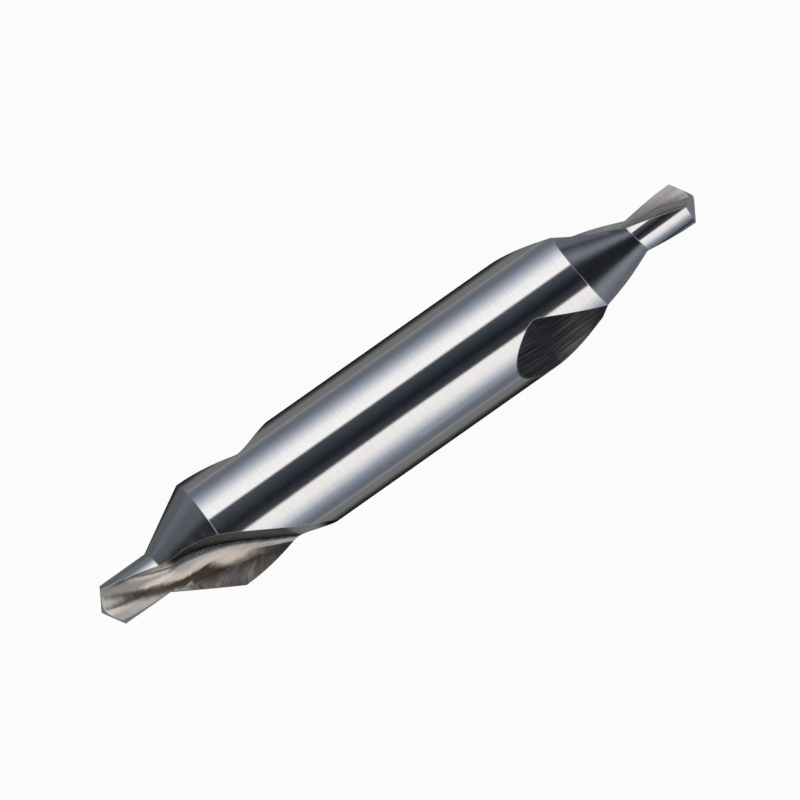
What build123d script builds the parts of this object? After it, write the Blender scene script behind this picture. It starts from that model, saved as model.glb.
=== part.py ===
from build123d import *

import os
from math import cos, hypot, radians, sin, sqrt, tan

# Centre drill with a plain round body and a pilot, a 60 degree countersink
# cone and two helical flutes at each end. Millimetres and degrees.
# The tool lies along X with its middle at the origin.
# One half is modelled with its tip towards -X. Turned over, it is the other half.

# Sizes of the tool
overall_length = 47.35
body_diameter = 8.0
pilot_diameter = 3.15
pilot_length = 4.5
cone_angle = 60.0
point_angle = 118.0
# Turn about X of the second end against the first, seen from the same side
end_turn = -48.3

# Relief: how far the turned forms drop away behind each cutting edge,
# and the angle about the axis at which each form stands proudest
cone_relief = 0.35
cone_ridge = -5.0
pilot_relief = 0.135
pilot_ridge = -32.0
point_relief = 0.12
point_ridge = -42.0

# Flutes: the lead of the helix, and in each section the centre of the
# hollow rake face, in a frame that turns with the flute
helix_lead = 48.8
rake_centre_x = 2.03
rake_centre_y = 3.27
# Half the web, from the axis to the heel face before its root is rounded
half_web = 0.2
# Radius in the root of the flute, at the tip and at the crease of the run-out
tip_root_radius = 2.2
crease_root_radius = 0.4
# Way that the heel face of the flute looks: at the tip, where it bends
# up from the web, and at the crease of the run-out
heel_turns = (-78.0, -13.0, -8.0)

# Run-out: the heel face bends up from the web and climbs straight, till it
# leaves the cutting edge at the crease, and ends in a shallower facet
crease_z = 4.7
climb_angle = 26.5
bend_radius = 8.8
facet_length = 2.7
facet_turn = -6.5

# Working values
section_step = 0.7
overcut = 1.0

body_radius = body_diameter / 2
pilot_radius = pilot_diameter / 2
cone_length = (body_radius - pilot_radius) / tan(radians(cone_angle / 2))
tip_x = -overall_length / 2
corner_x = tip_x + pilot_length + cone_length
tip_z = tip_x - corner_x
rake_radius = hypot(body_radius - rake_centre_x, rake_centre_y)
reach = body_radius + overcut
far_corner = 1.25 * reach
twist = 360 / helix_lead
climb = tan(radians(climb_angle))
crease_depth = body_radius * cos(radians(twist * crease_z - heel_turns[-1]))
bend_middle = crease_z - (crease_depth - half_web) / climb
bend_start = bend_middle - bend_radius * climb / 2
bend_end = bend_middle + bend_radius * climb / 2
heel_stations = (tip_z, bend_start, crease_z)


def around(angle, distance=1.0):
    """Point at an angle about the X axis, measured from Y, and a distance from it."""
    return Vector(0, distance * cos(radians(angle)), distance * sin(radians(angle)))


def shifted_plane(ridge, relief):
    """Plane through an axis beside the tool's own, square to the ridge of a relieved form."""
    aside = around(ridge + 90, relief)
    return Plane(origin=aside, x_dir=(1, 0, 0), z_dir=around(ridge + 180))


def section_plane(z, turn):
    """Plane across the tool, z from the corner of cone and body, with X at an angle."""
    return Plane(origin=(corner_x + z, 0, 0), x_dir=around(turn), z_dir=(-1, 0, 0))


def heel_depth(z):
    """Distance from the axis to the heel face: level, then bent, then climbing."""
    if z < bend_start:
        return half_web
    if z < bend_end:
        return half_web + (z - bend_start) ** 2 / (2 * bend_radius)
    return crease_depth - climb * (crease_z - z)


def heel_angle(z):
    """Angle about the axis that the heel face looks to, in line between its stations."""
    for index in range(1, len(heel_stations)):
        if z <= heel_stations[index]:
            break
    start, stop = heel_stations[index - 1 : index + 1]
    share = (z - start) / (stop - start)
    return heel_turns[index - 1] * (1 - share) + heel_turns[index] * share


def rake_point(x):
    """Point of the hollow rake face at x in the turning frame."""
    return Vector(x, rake_centre_y - sqrt(rake_radius**2 - (x - rake_centre_x) ** 2))


def flute_corner(normal, depth):
    """Where the heel line meets the hollow rake arc, nearest to the axis."""
    centre = Vector(rake_centre_x, rake_centre_y)
    along = Vector(normal.Y, -normal.X)
    to_line = depth - centre.dot(normal)
    return centre + normal * to_line + along * sqrt(rake_radius**2 - to_line**2)


def root_radius(z):
    """Radius in the root of the flute, tapering from the tip to the crease."""
    share = (z - tip_z) / (crease_z - tip_z)
    return tip_root_radius * (1 - share) + crease_root_radius * share


def flute_section(z):
    """Corners of the flute in one section: root, rake face, its end, outside, heel face."""
    lag = radians(heel_angle(z) - twist * z)
    normal = Vector(cos(lag), -sin(lag))
    root = flute_corner(normal, heel_depth(z))
    outer = rake_point(reach)
    middle = rake_point((root.X + outer.X) / 2)
    heel = normal * heel_depth(z) + Vector(-normal.Y, normal.X) * reach
    return root, middle, outer, Vector(far_corner, far_corner), heel


with BuildPart() as flute:
    # Working flute, from in front of the tip to the crease of the run-out
    span = crease_z - tip_z + overcut
    steps = round(span / section_step)
    for step in range(steps + 1):
        z = crease_z - span * (steps - step) / steps
        root, middle, outer, outside, heel = flute_section(z)
        with BuildSketch(section_plane(z, twist * z)) as section:
            with BuildLine():
                ThreePointArc(root, middle, outer)
                Polyline(outer, outside, heel, root)
            make_face()
            fillet(section.vertices().sort_by_distance((0, 0, 0))[0], root_radius(z))
    loft()

with BuildPart() as facet:
    # Run-out facet: the flute's last section lifts out of the body and turns a little
    root, middle, outer, outside, heel = flute_section(crease_z)
    for length, lift, turn in (
        (0, 0, 0),
        (facet_length, body_radius - crease_depth, facet_turn - heel_turns[-1]),
    ):
        plane = section_plane(crease_z + length, twist * crease_z + turn)
        plane.origin += around(heel_turns[-1] + turn, lift)
        with BuildSketch(plane) as section:
            with BuildLine():
                ThreePointArc(root, middle, outer)
                Polyline(outer, outside, heel, root)
            make_face()
            fillet(section.vertices().sort_by_distance((0, 0, 0))[0], crease_root_radius)
    loft(ruled=True)

with BuildPart() as pilot:
    # Pilot with its point: each is turned about two axes beside the tool's own
    for side, mode in ((1, Mode.ADD), (-1, Mode.INTERSECT)):
        plane = shifted_plane(pilot_ridge, side * pilot_relief)
        with BuildSketch(plane):
            with Locations((tip_x, 0)):
                Rectangle(
                    pilot_length + cone_length,
                    hypot(pilot_radius, pilot_relief),
                    align=(Align.MIN, Align.MIN),
                )
        revolve(axis=Axis(plane.origin, (1, 0, 0)), mode=mode)
    point_slope = tan(radians(point_angle / 2))
    point_x = tip_x - point_relief / point_slope
    for side in (1, -1):
        plane = shifted_plane(point_ridge, side * point_relief)
        with BuildSketch(plane):
            with BuildLine():
                Polyline(
                    (point_x, 0),
                    (corner_x, 0),
                    (corner_x, (corner_x - point_x) * point_slope),
                    close=True,
                )
            make_face()
        revolve(axis=Axis(plane.origin, (1, 0, 0)), mode=Mode.INTERSECT)

with BuildPart() as end:
    # Body, cut down to the cone, which is turned about two axes in the same way
    with BuildSketch(Plane.YZ.offset(tip_x)):
        Circle(body_radius)
    extrude(amount=-tip_x)
    cone_slope = tan(radians(cone_angle / 2))
    apex_x = corner_x - body_radius / cone_slope
    for side in (1, -1):
        plane = shifted_plane(cone_ridge, side * cone_relief)
        with BuildSketch(plane):
            with BuildLine():
                Polyline(
                    (apex_x, 0),
                    (apex_x + reach / cone_slope, reach),
                    (0, reach),
                    (0, 0),
                    close=True,
                )
            make_face()
        revolve(axis=Axis(plane.origin, (1, 0, 0)), mode=Mode.INTERSECT)
    add(pilot.part)
    for turn in (0, 180):
        add(flute.part.rotate(Axis.X, turn), mode=Mode.SUBTRACT)
        add(facet.part.rotate(Axis.X, turn), mode=Mode.SUBTRACT)

with BuildPart() as centre_drill:
    add(end.part)
    add(end.part.rotate(Axis.Z, 180).rotate(Axis.X, end_turn))

centre_drill.part.label = "centre_drill"
os.makedirs("parts", exist_ok=True)
export_step(centre_drill.part, "parts/centre_drill.step")
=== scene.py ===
import math

import bpy
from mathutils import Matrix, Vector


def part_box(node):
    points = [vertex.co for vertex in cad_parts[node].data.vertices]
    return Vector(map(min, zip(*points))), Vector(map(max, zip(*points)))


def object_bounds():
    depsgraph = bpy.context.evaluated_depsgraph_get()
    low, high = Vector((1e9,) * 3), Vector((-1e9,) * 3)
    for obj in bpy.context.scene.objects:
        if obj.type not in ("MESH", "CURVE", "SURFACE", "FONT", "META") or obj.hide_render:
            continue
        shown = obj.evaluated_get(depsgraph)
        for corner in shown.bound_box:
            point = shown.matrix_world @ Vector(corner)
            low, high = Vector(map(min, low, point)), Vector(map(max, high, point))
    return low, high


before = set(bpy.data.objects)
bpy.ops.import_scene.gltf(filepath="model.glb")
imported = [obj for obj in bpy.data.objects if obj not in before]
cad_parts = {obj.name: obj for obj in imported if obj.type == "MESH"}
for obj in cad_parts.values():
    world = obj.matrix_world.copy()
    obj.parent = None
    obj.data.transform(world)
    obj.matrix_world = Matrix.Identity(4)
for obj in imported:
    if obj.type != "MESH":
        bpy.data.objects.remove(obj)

# Centre drill of bright ground steel, seen from straight above on a pale floor.
# Metres. The tool lies along X with its middle at the origin.

cad_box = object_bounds()
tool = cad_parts["centre_drill"]
MM = 0.001

# Sizes of the tool that its finishes follow, in millimetres
BODY_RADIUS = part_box("centre_drill")[1][1] / MM
HALF_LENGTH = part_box("centre_drill")[1][0] / MM
PILOT_RADIUS = 1.575
PILOT_LENGTH = 4.5
CONE_SLOPE = math.tan(math.radians(30))
POINT_SLOPE = math.tan(math.radians(59))
CONE_START = HALF_LENGTH - PILOT_LENGTH
CORNER = CONE_START - (BODY_RADIUS - PILOT_RADIUS) / CONE_SLOPE
HELIX_LEAD = 48.8
# The second end stands turned about X by this much
END_TURN = -48.3
# Relief behind the cutting edges, and the angle about X where each form stands proudest
CONE_RELIEF, CONE_RIDGE = 0.35, -5.0
PILOT_RELIEF, PILOT_RIDGE = 0.135, -32.0
POINT_RELIEF, POINT_RIDGE = 0.12, -42.0

# How near to a form its finish reaches, and the width over which it fades out, in millimetres
BODY_NEAR = 0.03
CONE_NEAR = 0.03
PILOT_NEAR = 0.02
POINT_NEAR = 0.04
FADE = 0.02
# Along X from where pilot and cone meet: the cone's finish starts, the pilot's ends,
# and the duller end of the flute gives way
CONE_FROM = (-0.15, -0.1)
PILOT_TO = (0.6, 0.5)
DULL_END_TO = (1.5, -1.0)
# Along X from the corner of cone and body: the finish of the heel faces starts
HEEL_FROM = (-3.6, -2.8)
# Angle about X that the heel faces look to, and how nearly a face looks there to be one
HEEL_TURN = math.radians(-11)
HEEL_FACING = (0.7, 0.85)
# Angle about X of the way across the heel faces, and the lean of the marks in them
HEEL_WIDTH = math.radians(82)
HEEL_LEAN = -0.6

# Roughness of the body and what a cloudy noise adds, then what the other faces add
BODY_ROUGH, CLOUD_ROUGH = 0.08, 0.03
CONE_ROUGH = 0.1
POINT_ROUGH = 0.12
RAKE_ROUGH, STREAK_ROUGH = -0.05, 0.06
DULL_END_ROUGH = 0.12
HEEL_ROUGH, HEEL_MARK_ROUGH = 0.08, 0.1
# Depth of the marks in the heel faces in millimetres, and the share of it elsewhere
MARK_DEPTH = 0.004
SHALLOW_MARKS = 0.2
# Radius to which the edges are worn, in millimetres
EDGE_WEAR = 0.04

# How closely each kind of marks lies along X, Y and Z, in marks for each millimetre
ROUND_SPREAD = (7.0, 0.5, 0.5)
FLUTE_SPREAD = (0.35, 9.0, 9.0)
STREAK_SPREAD = (0.12, 1.6, 1.6)
HEEL_SPREAD = (0.3, 8.0, 1.0)
CLOUD_SPREAD = (0.5, 0.5, 0.5)

WHITE = (1, 1, 1, 1)
BLACK = (0, 0, 0, 1)
FLOOR_PAINT = (0.9, 0.9, 0.9, 1)
# Colours between which the marks vary: on body and pilots, and on cones and points
BRIGHT_TONES = ((0.62, 0.62, 0.63, 1), (0.74, 0.74, 0.75, 1))
SLATE_TONES = ((0.54, 0.57, 0.62, 1), (0.66, 0.68, 0.72, 1))
# Colour of the fine marks along the flutes, and between which noise they set in
FINE_TONE = (0.56, 0.53, 0.5, 1)
FINE_FROM = (0.2, 0.8)
# Tint of the heel faces' edge reflection, a painted shade that dims it
HEEL_SHADE_TINT = (0.3, 0.3, 0.3, 1)
# Colours of the flutes' streaks and of the marks in the heels, by strength of the noise
WARM_TONES = [
    (0.25, (0.42, 0.36, 0.32, 1)),
    (0.5, (0.62, 0.57, 0.52, 1)),
    (0.75, (0.78, 0.74, 0.69, 1)),
]
# Tones of the heel faces: painted shade, varied by the heels' own marks
HEEL_SHADE_TONES = [
    (0.3, (0.08, 0.08, 0.08, 1)),
    (0.5, (0.18, 0.18, 0.19, 1)),
    (0.7, (0.5, 0.5, 0.52, 1)),
]

# Light round the tool, by angle from straight above, towards -Y and then +Y
BANDS = [
    (-90, (0.19, 0.22, 0.27)),
    (-84, (0.22, 0.26, 0.33)),
    (-72, (0.40, 0.44, 0.52)),
    (-60, (0.79, 0.81, 0.85)),
    (-48, (1.17, 1.15, 1.12)),
    (-26.5, (1.28, 1.22, 1.18)),
    (-22.5, (0.06, 0.07, 0.08)),
    (-4, (0.01, 0.01, 0.02)),
    (6, (0.02, 0.03, 0.04)),
    (25.5, (0.06, 0.07, 0.09)),
    (29, (1.36, 1.33, 1.29)),
    (48, (1.24, 1.22, 1.22)),
    (60, (0.83, 0.84, 0.89)),
    (72, (0.43, 0.47, 0.55)),
    (84, (0.22, 0.26, 0.33)),
    (90, (0.19, 0.22, 0.27)),
]
# Light that the flutes mirror, by distance across a set of slanting lights
STREAK_ACROSS = (0.77, -0.64, 0)
STREAKS = [
    (-1.0, (0.14, 0.14, 0.15)),
    (-0.75, (0.38, 0.4, 0.42)),
    (-0.6, (0.7, 0.7, 0.72)),
    (-0.13, (0.86, 0.88, 0.9)),
    (-0.07, (0.6, 0.61, 0.62)),
    (-0.01, (0.16, 0.15, 0.14)),
    (0.06, (0.09, 0.08, 0.07)),
    (0.23, (0.08, 0.07, 0.05)),
    (0.28, (0.3, 0.28, 0.26)),
    (0.33, (0.85, 0.8, 0.76)),
    (0.42, (1.0, 0.94, 0.9)),
    (0.56, (0.9, 0.86, 0.82)),
    (0.66, (0.62, 0.62, 0.62)),
    (1.0, (0.45, 0.45, 0.45)),
]
# A dull patch among these: the way it lies in, where it fades, and its light
DULL_WAY = (-0.28, -0.73, 0.62)
DULL_EDGE = (0.2, 0.5)
DULL_LIGHT = (0.42, 0.42, 0.43, 1)
# The slanting lights dim towards +X: the slant of that border, where it fades, and by how much
DIM_SLANT = 0.25
DIM_EDGE = (0.44, 0.6)
DIM_SHARE = 0.75
# Grey light that the two cones mirror, and where one gives way to the other along X
FIRST_GREY = (0.11, 0.13, 0.14, 1)
SECOND_GREY = (0.33, 0.35, 0.39, 1)
GREY_CHANGE = (-0.5, 0.5)
# A dark stripe along its middle: its light, its place in Y, its edges, and where it ends in X
STRIPE_LIGHT = (0.004, 0.005, 0.007, 1)
STRIPE_MIDDLE = 0.03
STRIPE_EDGE = (0.24, 0.46)
STRIPE_END = (0.95, 0.99)
# Away from the middle along X the bands give way to the streaks, and these to the grey
BANDS_TO_STREAKS = (0.05, 0.12)
STREAKS_TO_GREY = (0.74, 0.84)

# Width of the floor and of the card in metres, and the card's height above it in millimetres
STAGE_WIDTH = 3.0
CARD_LIFT = 0.02
# Share of the floor that shows as white, while the rest takes the shadow
FLOOR_WHITE = 0.95
# Light of the card by distance from the tool's axis, in millimetres; the darkest stretch near the axis
# is a painted shadow of the tool
CARD_BANDS = [
    (0, (0.01, 0.01, 0.01)),
    (5.8, (0.01, 0.01, 0.01)),
    (7.8, (0.06, 0.06, 0.06)),
    (11, (0.22, 0.22, 0.22)),
    (20, (0.23, 0.23, 0.24)),
    (25, (0.34, 0.34, 0.36)),
    (32, (0.22, 0.23, 0.25)),
    (60, (0.18, 0.2, 0.23)),
]
# Past this far along X the card's bands draw in, by this much for each millimetre
DRAW_IN_FROM = 17
DRAW_IN = 1.5
# Patches on the card: centre, where each starts to fade, where it is gone, and its light
CARD_PATCHES = [
    ((24, -22, 0), 9, 16, (0.055, 0.06, 0.07, 1)),
    ((-24, 11, 0), 5, 10, (0.14, 0.155, 0.16, 1)),
    ((14.8, -9, 0), 1.0, 3.6, (0.5, 0.49, 0.51, 1)),
    ((-10.6, -4.3, 0), 1.1, 2.1, (0.8, 0.84, 0.82, 1)),
]

# Camera: the photograph shows the tool square on, its axis turned in the picture
PICTURE = 800
PIXELS_PER_MM = 15.28
AXIS_TILT = 35.18
MIDDLE_PIXEL = (397.4, 404.2)
LENS = 300.0

# Numbers of a Mix node's first and second input and of its output, by what it mixes
MIX_SOCKETS = {"RGBA": (6, 7, 2), "VECTOR": (4, 5, 1)}


class Tree:
    """Short calls for the nodes of one material or world."""

    def __init__(self, owner):
        owner.use_nodes = True
        self.nodes = owner.node_tree.nodes
        self.links = owner.node_tree.links
        self.nodes.clear()

    def add(self, kind, inputs=None, **settings):
        """A node with its settings, and its inputs by name or number."""
        node = self.nodes.new(kind)
        for name, value in settings.items():
            setattr(node, name, value)
        for key, value in (inputs or {}).items():
            self.put(node.inputs[key], value)
        return node

    def put(self, socket, value):
        """Links a socket to an input, or sets the input's value."""
        if isinstance(value, bpy.types.NodeSocket):
            self.links.new(value, socket)
        else:
            socket.default_value = value

    def math(self, operation, *values):
        """A sum on numbers or sockets."""
        return self.add("ShaderNodeMath", dict(enumerate(values)), operation=operation).outputs[0]

    def vector(self, operation, *values):
        """A sum on vectors, which gives a vector, or a number where that is what it makes."""
        node = self.add("ShaderNodeVectorMath", dict(enumerate(values)), operation=operation)
        gives_number = operation in ("LENGTH", "DISTANCE", "DOT_PRODUCT")
        return node.outputs["Value" if gives_number else "Vector"]

    def split(self, value):
        """The three numbers of a vector."""
        return self.add("ShaderNodeSeparateXYZ", {0: value}).outputs

    def turned(self, value, angle, invert=False):
        """A vector turned about X."""
        inputs = {"Vector": value, "Angle": angle}
        node = self.add("ShaderNodeVectorRotate", inputs, rotation_type="X_AXIS", invert=invert)
        return node.outputs[0]

    def smooth(self, value, low, high):
        """0 at low, 1 at high, and a soft step between."""
        inputs = {"Value": value, "From Min": low, "From Max": high}
        node = self.add("ShaderNodeMapRange", inputs, interpolation_type="SMOOTHSTEP")
        return node.outputs["Result"]

    def mix(self, share, first, second, kind="RGBA"):
        """Colour or vector between two."""
        first_input, second_input, output = MIX_SOCKETS[kind]
        inputs = {0: share, first_input: first, second_input: second}
        return self.add("ShaderNodeMix", inputs, data_type=kind).outputs[output]

    def ramp(self, value, stops):
        """Colour along a list of (place, colour), with places from 0 to 1."""
        node = self.add("ShaderNodeValToRGB", {"Fac": value})
        elements = node.color_ramp.elements
        elements[0].position, elements[0].color = stops[0]
        elements[1].position, elements[1].color = stops[-1]
        for place, colour in stops[1:-1]:
            elements.new(place).color = colour
        return node.outputs["Color"]


def light_world():
    """Dim studio with a long soft light each side of the tool, and slanting ones for its flutes."""
    world = bpy.data.worlds.new("studio")
    bpy.context.scene.world = world
    tree = Tree(world)
    way = tree.add("ShaderNodeTexCoord").outputs["Generated"]
    x, y, z = tree.split(way)
    out = tree.math("ABSOLUTE", x)

    # Bands round the tool: the ramp holds the half turn from -90 to 90 degrees
    half_turn = tree.math("MULTIPLY_ADD", tree.math("ARCTAN2", y, z), 1 / math.pi, 0.5)
    bands = tree.ramp(half_turn, [(angle / 180 + 0.5, (*colour, 1)) for angle, colour in BANDS])

    # Grey for the cones, with its dark stripe
    grey = tree.mix(tree.smooth(x, *GREY_CHANGE), FIRST_GREY, SECOND_GREY)
    off_middle = tree.math("ABSOLUTE", tree.math("SUBTRACT", y, STRIPE_MIDDLE))
    ends = tree.mix(tree.smooth(off_middle, *STRIPE_EDGE), STRIPE_LIGHT, grey)
    ends = tree.mix(tree.smooth(out, *STRIPE_END), ends, grey)

    # Slanting lights for the flutes: the ramp holds the distances from -1 to 1
    slant = tree.math("MULTIPLY_ADD", tree.vector("DOT_PRODUCT", way, STREAK_ACROSS), 0.5, 0.5)
    streaks = tree.ramp(slant, [(place / 2 + 0.5, (*colour, 1)) for place, colour in STREAKS])
    off_dull = tree.vector("DISTANCE", way, DULL_WAY)
    streaks = tree.mix(tree.smooth(off_dull, *DULL_EDGE), DULL_LIGHT, streaks)
    dimmed = tree.mix(DIM_SHARE, streaks, BLACK)
    towards_dim = tree.math("MULTIPLY_ADD", y, DIM_SLANT, x)
    streaks = tree.mix(tree.smooth(towards_dim, *DIM_EDGE), streaks, dimmed)

    light = tree.mix(tree.smooth(out, *STREAKS_TO_GREY), streaks, ends)
    light = tree.mix(tree.smooth(out, *BANDS_TO_STREAKS), bands, light)
    rays = tree.add("ShaderNodeLightPath").outputs
    studio = tree.add("ShaderNodeBackground", {"Color": light}).outputs[0]
    white = tree.add("ShaderNodeBackground", {"Color": WHITE}).outputs[0]
    seen = tree.add("ShaderNodeMixShader", {0: rays["Is Camera Ray"], 1: studio, 2: white})
    tree.add("ShaderNodeOutputWorld", {"Surface": seen.outputs[0]})


def level_sheet(name, height, material):
    """Flat sheet of the stage, level, centred under the tool."""
    mesh = bpy.data.meshes.new(name)
    far = STAGE_WIDTH / 2
    corners = [(-far, -far, height), (far, -far, height), (far, far, height), (-far, far, height)]
    mesh.from_pydata(corners, [], [(0, 1, 2, 3)])
    mesh.materials.append(material)
    sheet = bpy.data.objects.new(name, mesh)
    bpy.context.scene.collection.objects.link(sheet)
    return sheet


def floor_material():
    """Pale floor that shows as white, with a faint shadow. The card hides it from the metal."""
    material = bpy.data.materials.new("floor")
    tree = Tree(material)
    rays = tree.add("ShaderNodeLightPath").outputs
    seen = tree.math("MAXIMUM", rays["Is Camera Ray"], rays["Is Glossy Ray"])
    seen = tree.math("MAXIMUM", seen, rays["Is Transmission Ray"])
    share = tree.math("MULTIPLY", seen, FLOOR_WHITE)
    paint = tree.add("ShaderNodeBsdfDiffuse", {"Color": FLOOR_PAINT}).outputs[0]
    white = tree.add("ShaderNodeEmission", {"Color": WHITE, "Strength": 1.0}).outputs[0]
    both = tree.add("ShaderNodeMixShader", {0: share, 1: paint, 2: white})
    tree.add("ShaderNodeOutputMaterial", {"Surface": both.outputs[0]})
    return material


def card_material():
    """Glowing card, darkest under the tool where it carries a painted shadow of it, with patches that
    the two ends mirror.
    """
    material = bpy.data.materials.new("card")
    tree = Tree(material)
    where = tree.add("ShaderNodeTexCoord").outputs["Object"]
    place = tree.vector("MULTIPLY", where, (1 / MM, 1 / MM, 0))
    x, y = tree.split(place)[:2]
    past = tree.math("SUBTRACT", tree.math("ABSOLUTE", x), DRAW_IN_FROM)
    past = tree.math("MAXIMUM", past, 0)
    aside = tree.math("MULTIPLY_ADD", past, DRAW_IN, tree.math("ABSOLUTE", y))
    reach = CARD_BANDS[-1][0]
    stops = [(offset / reach, (*colour, 1)) for offset, colour in CARD_BANDS]
    light = tree.ramp(tree.math("DIVIDE", aside, reach), stops)
    for centre, near, far, colour in CARD_PATCHES:
        off = tree.vector("DISTANCE", place, centre)
        light = tree.mix(tree.smooth(off, near, far), colour, light)
    glow = tree.add("ShaderNodeEmission", {"Color": light, "Strength": 1.0})
    tree.add("ShaderNodeOutputMaterial", {"Surface": glow.outputs[0]})
    return material


def lay_stage():
    """Floor under the tool, and a dim glowing card on it that only the metal sees, with a painted
    shadow of the tool.
    """
    floor_height = cad_box[0][2]
    level_sheet("floor", floor_height, floor_material())
    card = level_sheet("card", floor_height + CARD_LIFT * MM, card_material())
    card.visible_camera = False
    card.visible_diffuse = False
    card.visible_shadow = False
    card.visible_transmission = False


def set_camera():
    """Camera straight above, turned so that the tool lies as in the photograph."""
    data = bpy.data.cameras.new("camera")
    data.lens = LENS
    data.clip_start = 0.01
    data.clip_end = 10
    camera = bpy.data.objects.new("camera", data)
    bpy.context.scene.collection.objects.link(camera)
    width = PICTURE / PIXELS_PER_MM * MM
    height = width * data.lens / data.sensor_width
    right = (PICTURE / 2 - MIDDLE_PIXEL[0]) / PIXELS_PER_MM * MM
    up = (MIDDLE_PIXEL[1] - PICTURE / 2) / PIXELS_PER_MM * MM
    tilt = math.radians(AXIS_TILT)
    camera.location = (
        right * math.cos(tilt) + up * math.sin(tilt),
        up * math.cos(tilt) - right * math.sin(tilt),
        height,
    )
    camera.rotation_euler = (0, 0, -tilt)
    bpy.context.scene.camera = camera


def as_first_end(tree, value, second):
    """A place or direction, turned over where second is 1 to be as on the end towards -X."""
    turned = tree.turned(value, math.radians(-END_TURN))
    turned = tree.vector("MULTIPLY", turned, (-1, -1, 1))
    return tree.mix(second, value, turned, "VECTOR")


def on_relieved(tree, section, ridge, relief, wall, near):
    """1 on a form turned about two lines along X, which are set off each way square to its ridge.

    The form lies where the farther of the two lines is as far away as wall says.
    """
    aside = math.radians(ridge + 90)
    line = (0, relief * math.cos(aside), relief * math.sin(aside))
    one = tree.vector("DISTANCE", section, line)
    other = tree.vector("DISTANCE", section, tuple(-part for part in line))
    off = tree.math("SUBTRACT", tree.math("MAXIMUM", one, other), wall)
    return tree.smooth(tree.math("ABSOLUTE", off), near + FADE, near)


def marks(tree, place, spread, detail=3.0, rough=0.6):
    """Noise, drawn out along the directions where spread is small."""
    inputs = {
        "Vector": tree.vector("MULTIPLY", place, spread),
        "Scale": 1.0,
        "Detail": detail,
        "Roughness": rough,
    }
    return tree.add("ShaderNodeTexNoise", inputs).outputs["Fac"]


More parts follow.
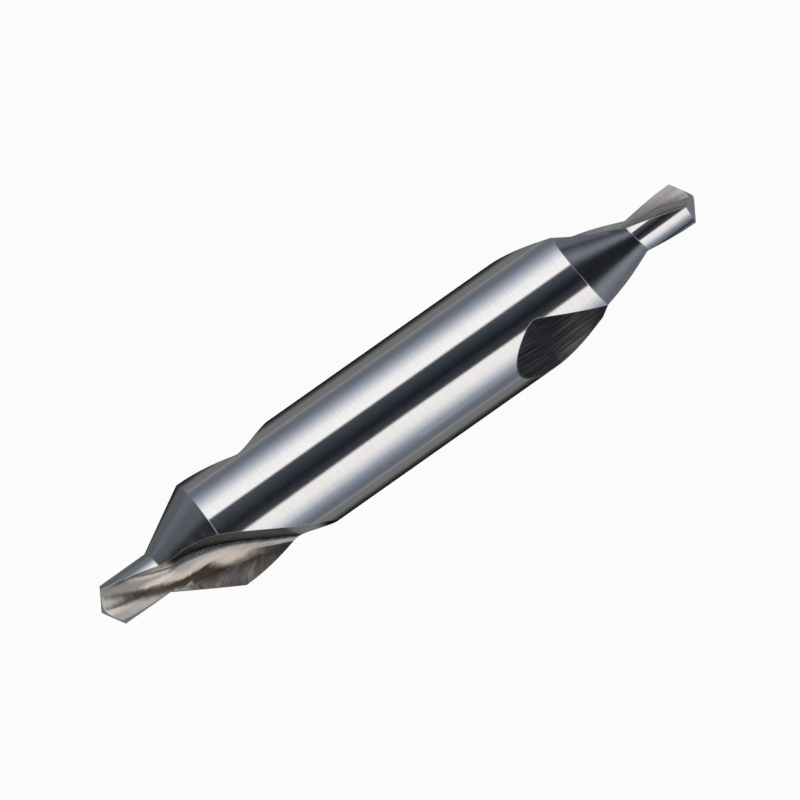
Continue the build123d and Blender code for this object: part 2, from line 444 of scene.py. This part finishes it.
def steel_material():
    """Ground steel: bright body and pilots, satin cones, and flutes with marks along them."""
    material = bpy.data.materials.new("ground_steel")
    tree = Tree(material)
    coordinates = tree.add("ShaderNodeTexCoord").outputs
    place = tree.vector("MULTIPLY", coordinates["Object"], (1 / MM, 1 / MM, 1 / MM))
    second = tree.math("GREATER_THAN", tree.split(place)[0], 0)
    local = as_first_end(tree, place, second)
    facing = as_first_end(tree, coordinates["Normal"], second)
    section = tree.vector("MULTIPLY", local, (0, 1, 1))

    # Distances along X from the tip, from where pilot and cone meet, and from the corner
    x = tree.split(local)[0]
    from_tip = tree.math("ADD", x, HALF_LENGTH)
    from_cone = tree.math("ADD", x, CONE_START)
    from_corner = tree.math("ADD", x, CORNER)

    # Which face of the tool a place lies on
    radius = tree.vector("LENGTH", section)
    body = tree.smooth(radius, BODY_RADIUS - BODY_NEAR - FADE, BODY_RADIUS - BODY_NEAR)
    cone_wall = tree.math("MULTIPLY_ADD", from_corner, CONE_SLOPE, BODY_RADIUS)
    cone = on_relieved(tree, section, CONE_RIDGE, CONE_RELIEF, cone_wall, CONE_NEAR)
    cone = tree.math("MULTIPLY", cone, tree.smooth(from_cone, *CONE_FROM))
    pilot_wall = math.hypot(PILOT_RADIUS, PILOT_RELIEF)
    pilot = on_relieved(tree, section, PILOT_RIDGE, PILOT_RELIEF, pilot_wall, PILOT_NEAR)
    pilot = tree.math("MULTIPLY", pilot, tree.smooth(from_cone, *PILOT_TO))
    point_wall = tree.math("MULTIPLY_ADD", from_tip, POINT_SLOPE, POINT_RELIEF)
    point = on_relieved(tree, section, POINT_RIDGE, POINT_RELIEF, point_wall, POINT_NEAR)
    land = tree.math("MAXIMUM", tree.math("MAXIMUM", body, cone), tree.math("MAXIMUM", pilot, point))
    flute = tree.math("SUBTRACT", 1.0, land)

    # A frame that turns with the flutes, and their heel faces by the way they look
    lag = tree.math("MULTIPLY", from_corner, 2 * math.pi / HELIX_LEAD)
    unwound = tree.vector("MULTIPLY", tree.turned(local, lag, invert=True), (1, 1, -1))
    parts = tree.split(unwound)
    side = tree.math("SIGN", tree.math("ADD", parts[1], parts[2]))
    heel_way = (0, math.cos(HEEL_TURN), math.sin(HEEL_TURN))
    looks = tree.math("MULTIPLY", tree.vector("DOT_PRODUCT", facing, heel_way), side)
    heel = tree.math("MULTIPLY", tree.smooth(looks, *HEEL_FACING), tree.smooth(from_corner, *HEEL_FROM))
    heel = tree.math("MULTIPLY", flute, heel)
    rake = tree.math("SUBTRACT", flute, heel)

    # Grinding marks: round the lands, along the flutes, and along the tool in the heels
    round_marks = marks(tree, local, ROUND_SPREAD)
    flute_marks = marks(tree, unwound, FLUTE_SPREAD)
    long_streaks = marks(tree, unwound, STREAK_SPREAD, detail=2.0)
    wide_way = (HEEL_LEAN, math.cos(HEEL_WIDTH), math.sin(HEEL_WIDTH))
    wide = tree.vector("DOT_PRODUCT", local, wide_way)
    heel_place = tree.add("ShaderNodeCombineXYZ", {"X": x, "Y": wide}).outputs[0]
    heel_marks = marks(tree, heel_place, HEEL_SPREAD, detail=4.0, rough=0.7)
    cloud = marks(tree, place, CLOUD_SPREAD, detail=2.0)

    # Colour: bright on the lands, cooler on the cones, warm streaks in the flutes, and heels darkened
    # with painted shade over their marks
    bright = tree.mix(round_marks, *BRIGHT_TONES)
    slate = tree.mix(round_marks, *SLATE_TONES)
    warm = tree.ramp(long_streaks, WARM_TONES)
    warm = tree.mix(tree.smooth(flute_marks, *FINE_FROM), warm, FINE_TONE)
    heel_shade = tree.ramp(heel_marks, HEEL_SHADE_TONES)
    colour = tree.mix(tree.math("MAXIMUM", cone, point), bright, slate)
    colour = tree.mix(rake, colour, warm)
    colour = tree.mix(heel, colour, heel_shade)
    # The heels are seen almost from their edge, where metal turns white unless it is tinted; this tint
    # is painted shade that darkens their reflection
    heel_edge_shade = tree.mix(heel, WHITE, HEEL_SHADE_TINT)

    # Roughness: what each face and its marks add to that of the body
    streaked = tree.math("MULTIPLY_ADD", long_streaks, STREAK_ROUGH, RAKE_ROUGH)
    dull_end = tree.math("MULTIPLY", tree.smooth(from_cone, *DULL_END_TO), DULL_END_ROUGH)
    marked = tree.math("MULTIPLY_ADD", heel_marks, HEEL_MARK_ROUGH, HEEL_ROUGH)
    roughness = tree.math("MULTIPLY_ADD", cloud, CLOUD_ROUGH, BODY_ROUGH)
    for face, added in (
        (cone, CONE_ROUGH),
        (point, POINT_ROUGH),
        (rake, streaked),
        (rake, dull_end),
        (heel, marked),
    ):
        roughness = tree.math("MULTIPLY_ADD", face, added, roughness)

    # Relief of the marks, over edges that are rounded a little by use
    worn = tree.add("ShaderNodeBevel", {"Radius": EDGE_WEAR * MM}, samples=6).outputs[0]
    height = tree.math("MULTIPLY", round_marks, tree.math("MULTIPLY", land, SHALLOW_MARKS))
    height = tree.math("MULTIPLY_ADD", flute_marks, tree.math("MULTIPLY", rake, SHALLOW_MARKS), height)
    height = tree.math("MULTIPLY_ADD", heel_marks, heel, height)
    relief = tree.add(
        "ShaderNodeBump",
        {"Strength": 1.0, "Distance": MARK_DEPTH * MM, "Height": height, "Normal": worn},
    )

    shader = tree.add(
        "ShaderNodeBsdfPrincipled",
        {
            "Base Color": colour,
            "Metallic": 1.0,
            "Roughness": roughness,
            "Specular Tint": heel_edge_shade,
            "Normal": relief.outputs[0],
        },
    )
    tree.add("ShaderNodeOutputMaterial", {"Surface": shader.outputs[0]})
    return material


light_world()
lay_stage()
set_camera()
tool.material_slots[0].material = steel_material()

bpy.context.scene.view_settings.view_transform = "Standard"
